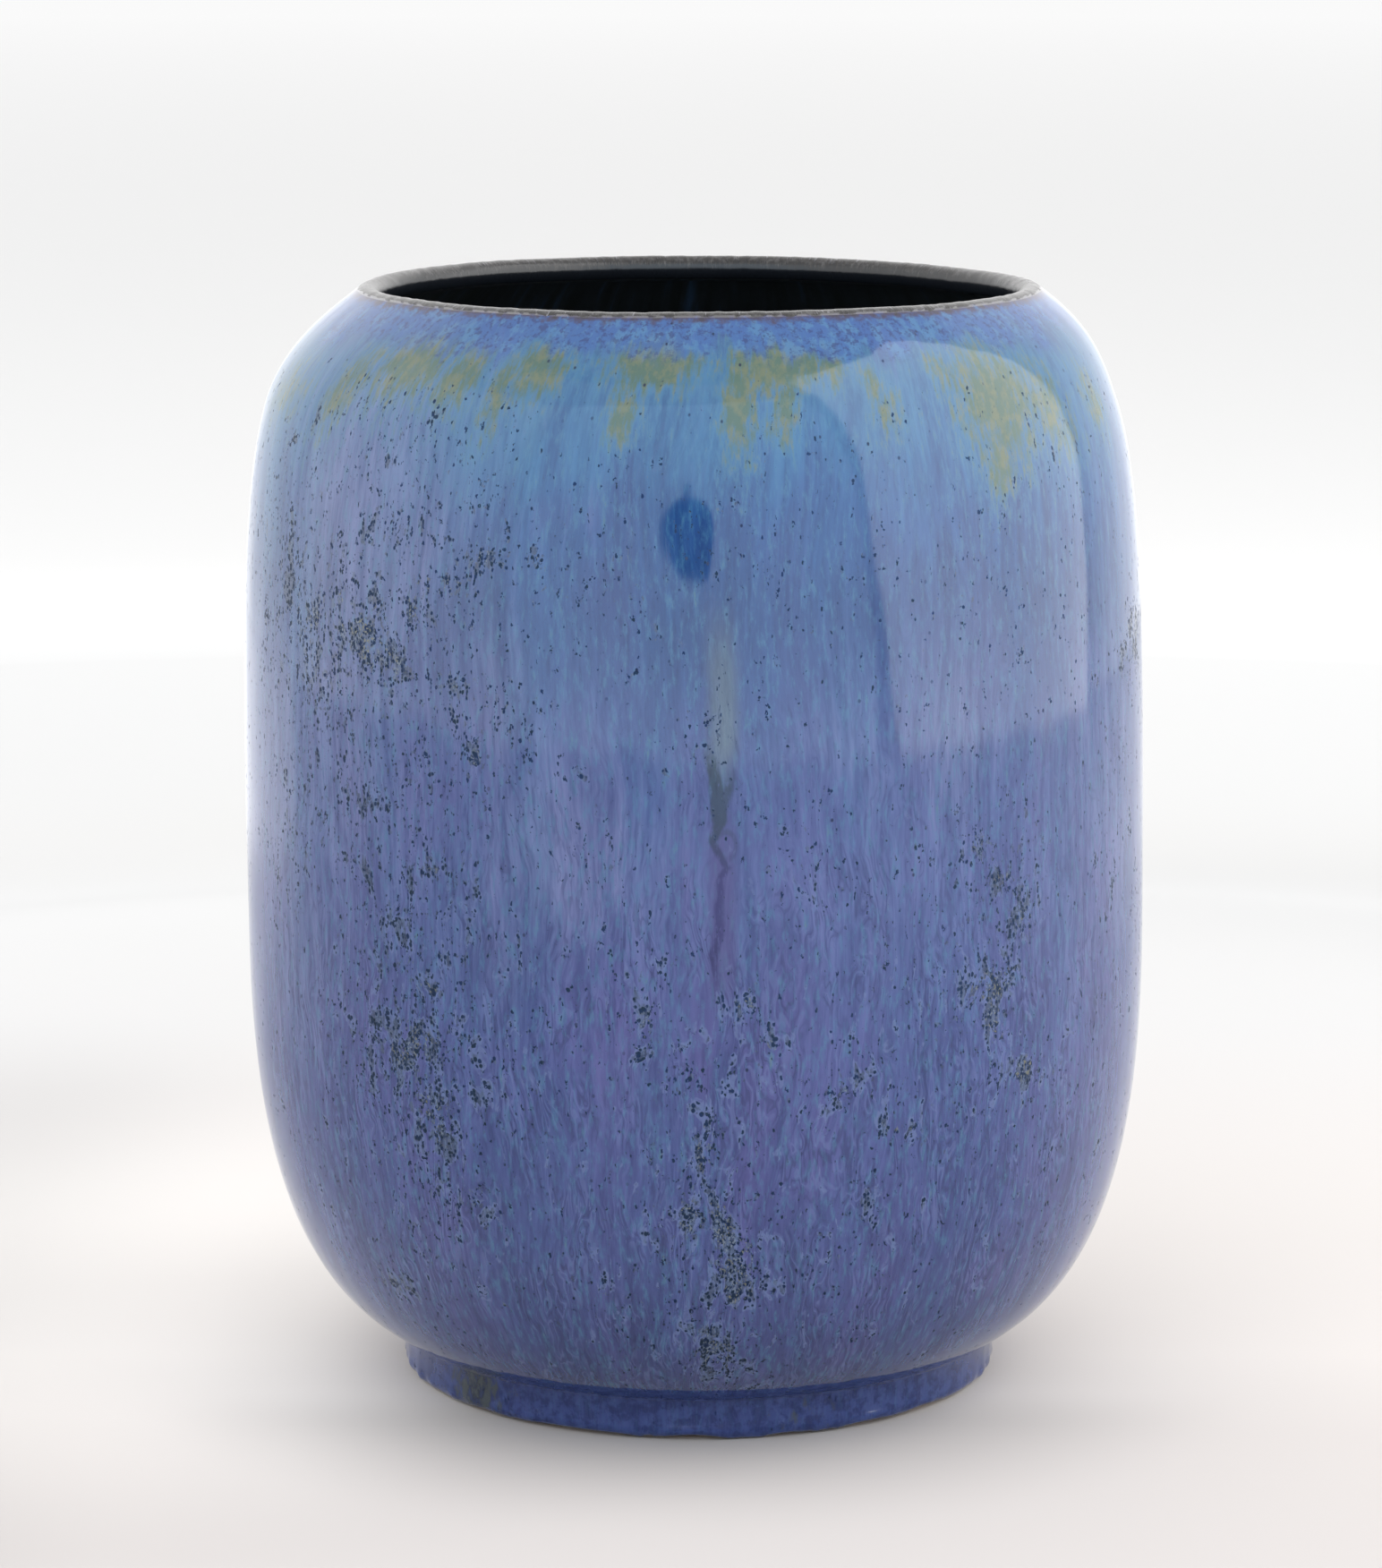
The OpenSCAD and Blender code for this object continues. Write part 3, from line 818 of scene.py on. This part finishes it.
def wash_finish():
    material, b, shader = finish("brown foot wash")
    place = b.put("ShaderNodeTexCoord", out=3)
    brushed = b.noise(b.vector("MULTIPLY", place, (60, 300, 60)), detail=4, rough=0.6)
    body = b.stops(brushed, [(0.35, (0.030, 0.022, 0.018)), (0.65, (0.085, 0.058, 0.040))])
    b.feed(shader.inputs["Base Color"], body)
    b.feed(shader.inputs["Roughness"], b.line(brushed, 0.3, 0.7, 0.35, 0.6))
    b.bump(shader, brushed, 0.3, 0.3)
    return material


# ---------------------------------------------------------------- pieces

THE_WHEEL = wheel()


def settle_piece(item, node):
    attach(item, "root")
    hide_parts(node)
    return item


def ragged_foot(right, seed):
    """How much further round the foot edge the glaze has run, as a share of its rounded part."""
    turn = np.radians(right)
    level = np.zeros_like(turn)
    slow = ripples(seed, turn, level, 10, 22, 50)
    quick = ripples(seed + 1, turn, level, 24, 3.2, 50)
    return 1 + np.clip(0.16 * slow + 0.20 * quick * smooth(slow, -0.1, 1.2), -0.75, 0.25)


def run_round_edge(co, right, seed):
    """Lets the coat's lower end stop at an uneven height on the rounded foot edge."""
    settled = np.stack([co[:, 0] - FOOT_LEAN * MM, co[:, 1]], axis=-1)
    radius = np.linalg.norm(settled, axis=1)
    out = np.stack([radius / MM - edge_centre[0], co[:, 2] / MM - edge_centre[1]], axis=-1)
    angle = np.degrees(np.arctan2(out[:, 1], out[:, 0]))
    reach = np.linalg.norm(out, axis=1)
    on_edge = (angle < 0) & (angle > -60) & (co[:, 2] < edge_centre[1] * MM)
    moved = angle * ragged_foot(right, seed)
    new_radius = (edge_centre[0] + reach * np.cos(np.radians(moved))) * MM
    scale = np.where(on_edge, new_radius / np.maximum(radius, 1e-9), 1)
    co[:, 0] = settled[:, 0] * scale + FOOT_LEAN * MM
    co[:, 1] = settled[:, 1] * scale
    co[:, 2] = np.where(on_edge, (edge_centre[1] + reach * np.sin(np.radians(moved))) * MM, co[:, 2])


def blue_glaze_piece():
    points, normals, blue = outside(7, 72, 100)
    under = (points - blue[:, None] * normals)[::-1][1:]
    # Every fourth row is enough for the underside, except near the foot
    under = np.concatenate([under[:-24:4], under[-24:]])
    loop = np.concatenate([points, under, points[:1]])
    along = np.concatenate([measured(points), -1 - measured(under), [-1]])
    item = thrown("blue_glaze_coat", loop, along, blue_glaze_finish(), 384)
    mesh = item.data
    length, turn = read(mesh, "along"), read(mesh, "turn")
    outer = length >= 0
    right = degrees_right(turn)
    co, out = places(mesh), directions(mesh)
    length = np.where(outer, length, guide_along[-1])
    skin = 0.020 * ripples(3, turn, length, 40, 9, 26) + 0.006 * ripples(4, turn, length, 40, 3.5, 40)
    fade = smooth(length, 0, 6) * smooth(length, guide_along[-1], guide_along[-1] - 6)
    run = patches(THICK_RUN, right, length)
    # A rolled lower edge, and glaze pooled in the hollow
    roll = 0.35 * np.exp(-((length - 1.2) / 1.2) ** 2) * (0.7 + 0.5 * ripples(5, turn, length * 0, 20, 6, 50))
    fill = 0.45 * np.exp(-((length - along_at(8.0)) / 1.1) ** 2)
    lift = np.where(outer, (skin + run) * fade + roll + fill, 0)
    co += out * lift[:, None] * MM
    run_round_edge(co, right, 11)
    move(mesh, co)
    store(mesh, "flow", flow_vector(right, length))
    store(mesh, "height", np.interp(length, guide_along, guide[:, 1]))
    for name, marks in (
        ("ochre", OCHRE), ("mauve", MAUVE), ("teal", TEAL), ("deep", DEEP), ("pale", PALE),
        ("peppered", PEPPERED), ("speckle", SPECKLE), ("foot shade", FOOT_SHADE),
    ):
        store(mesh, name, patches(marks, right, length))
    return settle_piece(item, "blue_glaze")


def base_glaze_piece():
    points, normals, blue = outside(7, 18, 26)
    edge, _ = rounded(edge_centre, edge_r - blue_coat, BASE_STOP, BLUE_STOP, 4)
    lip, _ = rounded(lip_centre, lip_r, LIP_START, LIP_END, 40)
    lip_inner, _ = rounded(lip_centre, lip_r - base_coat, LIP_START, LIP_END, 16)
    edge_inner, _ = rounded(edge_centre, clay_edge_r, BASE_STOP, BLUE_STOP, 3)
    up = np.concatenate([edge[:-1], points - blue[:, None] * normals, lip[1:]])
    under = points - (blue[:, None] + base_coat) * normals
    down = np.concatenate([edge_inner[:-1], under, lip_inner[1:]])[::-1]
    loop = np.concatenate([up, down, up[:1]])
    length = measured(up)
    along = np.concatenate([length, np.full(len(down), length[-1]), [0]])
    item = thrown("dark_first_coat", loop, along, base_glaze_finish(), 360)
    mesh = item.data
    turn, length = read(mesh, "turn"), read(mesh, "along")
    right = degrees_right(turn)
    co, out = places(mesh), directions(mesh)
    crest = measured(up)[len(up) - len(lip)] + lip_r * math.radians(90 - LIP_START)
    on_lip = smooth(length, crest - 3.5, crest - 2.0) * smooth(length, crest + 6, crest + 3)
    skin = 0.03 * ripples(7, turn, length, 30, 3, 6) + 0.02 * ripples(8, turn, length, 30, 1.6, 4)
    co += out * (on_lip * skin)[:, None] * MM
    run_round_edge(co, right, 21)
    move(mesh, co)
    store(mesh, "flow", flow_vector(right, length))
    store(mesh, "inward", length - crest)
    return settle_piece(item, "base_glaze")


def cavity(extra, rows):
    """The cavity's outline from the lip down to the floor, `extra` mm further into the cavity."""
    t = np.linspace(1, 0, rows)
    side, out = bezier(shoulder, t)
    wall = WALL + (2 * lip_r - base_coat - WALL) * t
    upper = side - (wall + extra * smooth(1 - t, 0, 0.12))[:, None] * out
    t = np.linspace(1, FLOOR_TURN, rows)[1:]
    side, out = bezier(belly, t)
    wall = WALL_LOW + (WALL - WALL_LOW) * t
    lower = side - (wall + extra)[:, None] * out
    start = lower[-1]
    way = np.array([out[-1][1], -out[-1][0]])
    level = FLOOR_Z + extra
    turn = start + CORNER_REACH * way
    on_floor = [np.array([turn[0] - share * FLOOR_REACH, level]) for share in (0.5, 2)]
    corner, _ = bezier([start, turn, *on_floor], np.linspace(0, 1, 16)[1:])
    return np.concatenate([upper, lower, corner])


def lining_piece():
    inner = cavity(lining_coat, 60)
    wall = cavity(0, 20)
    loop = np.concatenate([[wall[0]], inner, [[0, FLOOR_Z + lining_coat], [0, FLOOR_Z]], wall[::-1]])
    item = thrown("black_lining", loop, measured(loop), lining_finish(), 256, ridge=0.14, spacing=6.5, seed=2.0)
    mesh = item.data
    store(mesh, "flow", flow_vector(degrees_right(read(mesh, "turn")), read(mesh, "along")))
    return settle_piece(item, "lining_glaze")


def clay_piece():
    points, normals, blue = outside(5, 16, 22)
    recess_top, _ = rounded(recess_centre, RECESS_ROUND, 90, 0, 8)
    ring_edge, _ = rounded((ring_in, RECESS_ROUND), RECESS_ROUND, 180, 270, 10)
    foot_edge, _ = rounded(edge_centre, clay_edge_r, -90, BASE_STOP, 10)
    lip, _ = rounded(lip_centre, lip_r - base_coat, LIP_START, LIP_END, 16)
    # The clay stays this much under the coats, so that its coarser mesh never shows through them
    spare = 0.02
    loop = np.concatenate([
        [[r, RECESS_H] for r in RECESS_ROWS], recess_top, ring_edge, [[ring_in + 1.8, 0], [ring_in + 3.4, 0]],
        foot_edge, points - (blue[:, None] + base_coat + spare) * normals, lip[1:], cavity(0, 24)[1:],
        [[0, FLOOR_Z]],
    ])
    item = thrown("clay_pot", loop, measured(loop), clay_finish(), 256)
    return settle_piece(item, "clay_body")


def wash_piece():
    top, _ = rounded(recess_centre, RECESS_ROUND, 90, 0, 8)
    under, _ = rounded(recess_centre, RECESS_ROUND - wash_coat, 90, 0, 8)
    loop = np.concatenate([
        [[r, RECESS_H - wash_coat] for r in RECESS_ROWS], under, top[::-1],
        [[r, RECESS_H] for r in reversed(RECESS_ROWS)],
    ])
    item = thrown("foot_wash", loop, measured(loop), wash_finish(), 160, seed=4.0)
    return settle_piece(item, "recess_glaze")


blue_glaze_piece()
base_glaze_piece()
lining_piece()
clay_piece()
wash_piece()


# ---------------------------------------------------------------- floor, light, camera

def floor():
    """A pale floor with painted shade and light: darker near the pot and an even pale far off, painted light on
    both sides of the pot, painted shade further to the left and a painted shadow just in front of the foot.
    """
    mesh = bpy.data.meshes.new("floor")
    far = 14.0
    mesh.from_pydata([(-far, -far, 0), (far, -far, 0), (far, far, 0), (-far, far, 0)], [], [(0, 1, 2, 3)])
    item = bpy.data.objects.new("floor", mesh)
    bpy.context.scene.collection.objects.link(item)
    material, b, shader = finish("pale floor with painted shade")
    place = b.put("ShaderNodeTexCoord", out=3)
    right, back, _ = b.apart(place)
    from_pot = b.length(place)
    # Painted shade: the floor is darker near the pot and blends to an even pale far off
    near = b.stops(b.line(back, -0.15, 0.85), [
        (0.00, (0.535, 0.496, 0.472)), (0.10, (0.580, 0.535, 0.507)), (0.15, (0.640, 0.594, 0.562)),
        (0.23, (0.608, 0.572, 0.548)), (0.32, (0.596, 0.570, 0.554)), (0.42, (0.580, 0.570, 0.564)),
        (0.60, (0.575, 0.571, 0.567)), (1.00, (0.630, 0.627, 0.624)),
    ])
    shade = b.blend(b.math("SQRT", b.line(from_pot, 0.85, 7.0)), near, (0.970, 0.970, 0.970))
    # Painted light beside the pot, most of it on the left, and painted shade further to the left
    beside = b.times(b.step(back, 0.22, 0.08), b.step(back, -0.12, -0.03))
    painted_light_left = b.times(b.times(b.step(right, -0.03, -0.075), b.step(right, -0.24, -0.12)), beside)
    painted_shade_far_left = b.times(b.step(right, -0.09, -0.15), b.step(back, 0.30, 0.14))
    painted_light_right = b.times(b.step(right, 0.03, 0.10), beside)
    # Painted shadow on the floor just in front of the foot
    painted_shadow_in_front = b.times(b.step(from_pot, 0.110, 0.055), b.step(back, -0.022, -0.045))
    for where, tint in (
        (painted_light_left, (1.27, 1.28, 1.27)), (painted_shade_far_left, (0.865, 0.87, 0.875)), (painted_light_right, (1.02, 1.02, 1.015)),
        (painted_shadow_in_front, (0.80, 0.80, 0.80)),
    ):
        shade = b.tinted(shade, b.blend(where, (1, 1, 1), tint))
    b.feed(shader.inputs["Base Color"], shade)
    shader.inputs["Roughness"].default_value = 0.9
    shader.inputs["Specular IOR Level"].default_value = 0.0
    mesh.materials.append(material)


def light_panel(name, start, end, low, high, away, strength, corner=0.12, soft=0.02, tint=(1, 1, 1)):
    """A curved sheet of light standing round the pot, from start to end degrees right of the front.

    Start and end are each one angle, or the angles at the bottom and at the top of the sheet.
    """
    steps, rows = 24, 12
    start = start if isinstance(start, tuple) else (start, start)
    end = end if isinstance(end, tuple) else (end, end)
    verts, faces, spots = [], [], []
    wide = math.radians(end[1] - start[1]) * away
    tall = high - low
    for i in range(steps + 1):
        for j in range(rows + 1):
            rise = math.sqrt(j / rows)
            left = start[0] + (start[1] - start[0]) * rise
            angle = math.radians(left + (end[0] + (end[1] - end[0]) * rise - left) * i / steps)
            verts.append((away * math.sin(angle), -away * math.cos(angle), low + tall * j / rows))
            spots.append((wide * (i / steps - 0.5), tall * (j / rows - 0.5)))
    for i in range(steps):
        for j in range(rows):
            a = i * (rows + 1) + j
            faces.append((a, a + 1, a + rows + 2, a + rows + 1))
    mesh = bpy.data.meshes.new(name)
    mesh.from_pydata(verts, [], faces)
    sheet = mesh.uv_layers.new(name="UVMap")
    for loop in mesh.loops:
        sheet.data[loop.index].uv = spots[loop.vertex_index]
    item = bpy.data.objects.new(name, mesh)
    bpy.context.scene.collection.objects.link(item)
    material = bpy.data.materials.new(name)
    material.use_nodes = True
    b = Bench(material.node_tree)
    b.tree.nodes.clear()
    uv = b.put("ShaderNodeUVMap", uv_map="UVMap")
    past = b.vector("SUBTRACT", b.vector("ABSOLUTE", uv), (wide / 2 - corner, tall / 2 - corner, 0))
    past = b.vector("MAXIMUM", past, (0, 0, 0))
    lit = b.step(b.length(past), corner - soft, corner, 1.0, 0.0)
    glow = b.put("ShaderNodeEmission", {"Color": colour(tint), "Strength": strength})
    clear = b.put("ShaderNodeBsdfTransparent")
    result = b.put("ShaderNodeMixShader", {0: lit, 1: clear, 2: glow})
    surface = b.tree.nodes.new("ShaderNodeOutputMaterial")
    b.feed(surface.inputs[0], result)
    mesh.materials.append(material)
    item.visible_camera = False
    item.visible_shadow = False


def sky():
    world = bpy.data.worlds.new("soft light tent")
    world.use_nodes = True
    b = Bench(world.node_tree)
    _, _, up = b.apart(b.put("ShaderNodeTexCoord", out=0))
    shade = b.stops(b.line(up, -0.1, 1.0), [
        (0.0, (0.955, 0.955, 0.955)), (0.5, (0.96, 0.96, 0.96)), (1.0, (1.0, 1.0, 1.0)),
    ])
    b.feed(world.node_tree.nodes["Background"].inputs[0], shade)
    bpy.context.scene.world = world


CAMERA_PLACE = (-0.00065, -0.946, 0.281)
CAMERA_LENS = 136.8
# Degrees that the camera looks down
CAMERA_TILT = 10.35


def camera():
    lens = bpy.data.cameras.new("camera")
    lens.sensor_fit = "HORIZONTAL"
    lens.sensor_width = 36
    lens.lens = CAMERA_LENS
    item = bpy.data.objects.new("camera", lens)
    item.location = CAMERA_PLACE
    item.rotation_euler = (math.radians(90 - CAMERA_TILT), 0, 0)
    bpy.context.scene.collection.objects.link(item)
    bpy.context.scene.camera = item


floor()
sky()
light_panel("front light", (-49.0, -38.5), (48.6, 36.6), -0.15, 1.25, 0.98, 2.1, corner=0.15,
            tint=(0.86, 0.975, 1.09))
light_panel("right light", (49.4, 37.2), (119, 113), -0.20, 1.95, 0.985, 3.05, corner=0.42)
light_panel("left light", (-122, -122), (-40, -30), -0.30, 1.3, 0.99, 1.9, corner=0.30, soft=0.26)
light_panel("pale wall", -128, 128, 0.0, 2.2, 1.04, 1.35, corner=0.30, soft=0.28)
light_panel("left rear light", -190, -106, -0.35, 1.5, 1.03, 1.40, corner=0.36, soft=0.34)
light_panel("right rear light", 106, 190, -0.35, 1.5, 1.03, 1.48, corner=0.36, soft=0.34)
light_panel("left bounce card", -172, -110, 0.002, 0.100, 0.45, 1.5, corner=0.03, soft=0.03)
light_panel("right bounce card", 110, 172, 0.002, 0.090, 0.45, 1.1, corner=0.03, soft=0.03)
light_panel("dark card", -8.2, 5.2, 0.170, 0.385, 0.95, 0.02, corner=0.107)
light_panel("tip of the dark card", -2.6, -0.4, 0.30, 0.435, 0.945, 0.02, corner=0.015)
camera()
bpy.context.scene.view_settings.view_transform = "Standard"
